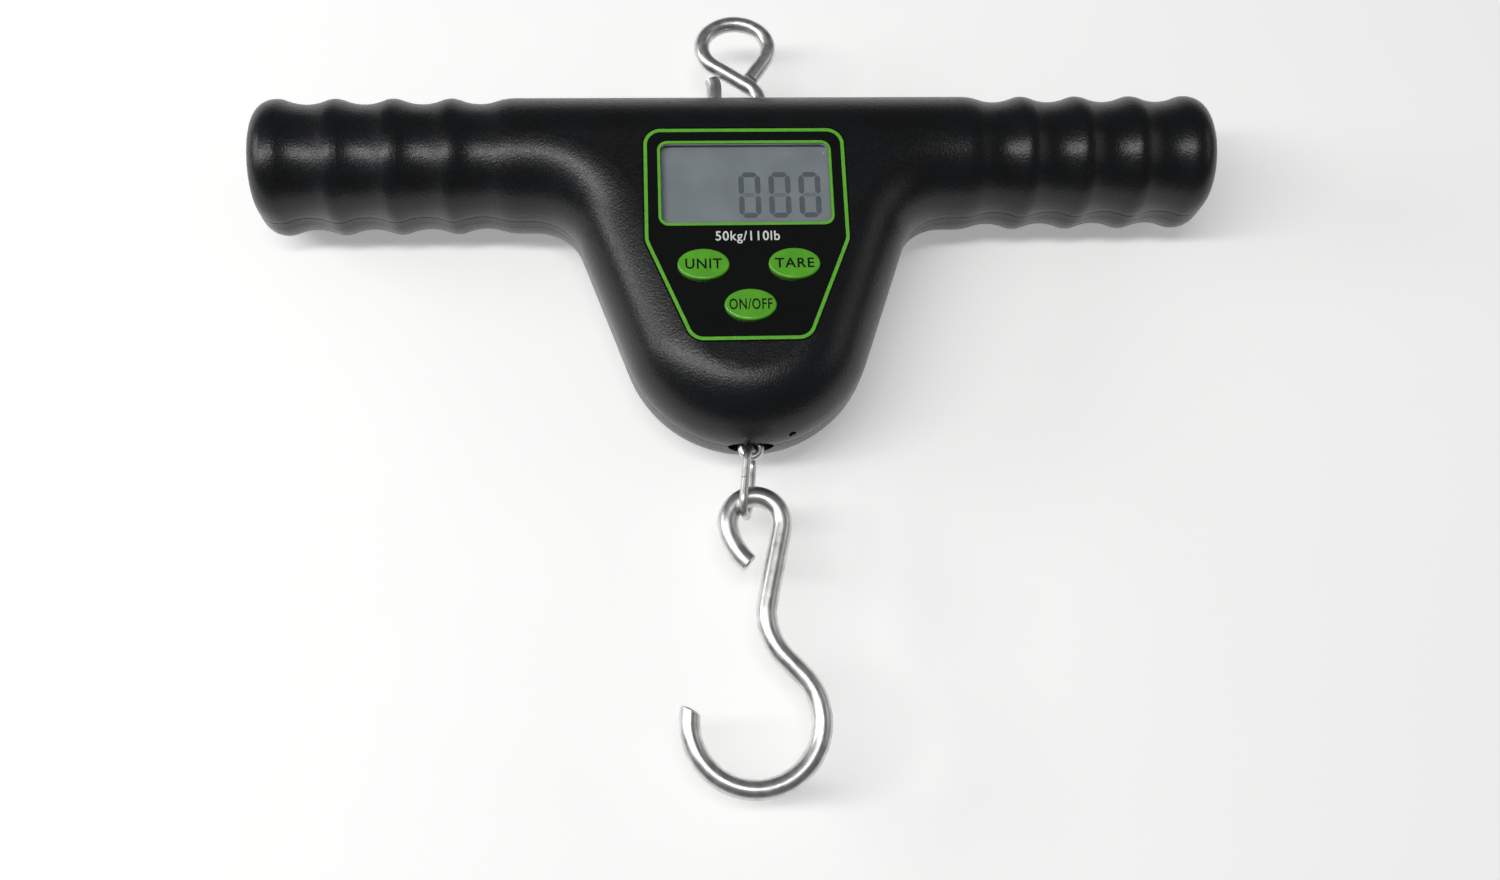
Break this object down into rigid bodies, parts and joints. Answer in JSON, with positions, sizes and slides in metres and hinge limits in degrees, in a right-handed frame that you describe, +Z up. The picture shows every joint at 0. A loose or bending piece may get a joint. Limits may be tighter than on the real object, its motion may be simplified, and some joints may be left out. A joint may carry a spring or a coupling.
{
  "type": "hanging scale",
  "caption": "Digital hanging scale with a grooved T-shaped grip, a hanging ring above, a display and keys on the front, and a link and open hook below.",
  "frame": {"origin": "inside top of the hanging ring, where the scale hangs", "axes": "+X along the grip, +Y from the keys to the back, +Z up towards the ring"},
  "size_m": [0.2432, 0.0383, 0.2022],
  "materials": {
    "stainless_wire": "satin drawn wire",
    "black_case": "fine spark-eroded grain",
    "label_film": "gloss",
    "clear_window": "clear",
    "green_key": "gloss",
    "inner_plastic": "moulded",
    "display_glass": "reflective display",
    "zebra_rubber": "matte",
    "board_green": "solder resist",
    "switch_black": "moulded",
    "component_black": "epoxy",
    "cell_aluminium": "machined",
    "gauge_film": "polyimide film",
    "zinc_steel": "zinc plated",
    "battery_wrap": "printed sleeve",
    "nickel_spring": "nickel plated",
    "lead_red": "PVC",
    "lead_black": "PVC",
    "lead_grey": "PVC",
    "black_screw": "black zinc"
  },
  "bodies": {
    "ring": {"hang_ring": "stainless_wire"},
    "housing": {"front_shell": "black_case", "rear_shell": "black_case", "label_overlay": "label_film", "display_window": "clear_window", "display_frame": "inner_plastic", "display_module": "display_glass", "zebra_strips": "zebra_rubber", "circuit_board": "board_green", "tact_switches": "switch_black", "board_components": "component_black", "load_cell": "cell_aluminium", "strain_gauges": "gauge_film", "upper_eye_bolt": "zinc_steel", "lower_eye_bolt": "stainless_wire", "lock_nuts": "zinc_steel", "batteries": "battery_wrap", "battery_contacts": "nickel_spring", "battery_lead_red": "lead_red", "battery_lead_black": "lead_black", "load_cell_lead": "lead_grey", "case_screws": "black_screw", "board_screws": "zinc_steel", "cell_screws": "zinc_steel"},
    "unit_key": {"key_unit": "green_key"},
    "tare_key": {"key_tare": "green_key"},
    "power_key": {"key_power": "green_key"},
    "battery_door": {"battery_cover": "black_case"},
    "chain_link": {"link": "stainless_wire"},
    "load_hook": {"hook": "stainless_wire"}
  },
  "joints": [
    {"name": "housing_swing", "type": "hinge", "parent": "ring", "child": "housing", "pos_m": [0, 0, -0.02139], "axis": [0, 1, 0], "range_deg": [-35, 35]},
    {"name": "unit_key_press", "type": "slide", "parent": "housing", "child": "unit_key", "axis": [0, 1, 0], "range_m": [0, 0.0006], "stiffness_N_per_m": 600},
    {"name": "tare_key_press", "type": "slide", "parent": "housing", "child": "tare_key", "axis": [0, 1, 0], "range_m": [0, 0.0006], "stiffness_N_per_m": 600},
    {"name": "power_key_press", "type": "slide", "parent": "housing", "child": "power_key", "axis": [0, 1, 0], "range_m": [0, 0.0006], "stiffness_N_per_m": 600},
    {"name": "battery_door_tilt", "type": "hinge", "parent": "housing", "child": "battery_door", "pos_m": [0, 0.01965, -0.0446], "axis": [1, 0, 0], "range_deg": [0, 75]},
    {"name": "link_swing", "type": "hinge", "parent": "housing", "child": "chain_link", "pos_m": [0, 0, -0.117], "axis": [0.9667, -0.2285, -0.1153], "range_deg": [-24, 24]},
    {"name": "hook_swing", "type": "hinge", "parent": "chain_link", "child": "load_hook", "pos_m": [-0.00198, 0, -0.1316], "axis": [0, 1, 0], "range_deg": [-45, 45]}
  ]
}
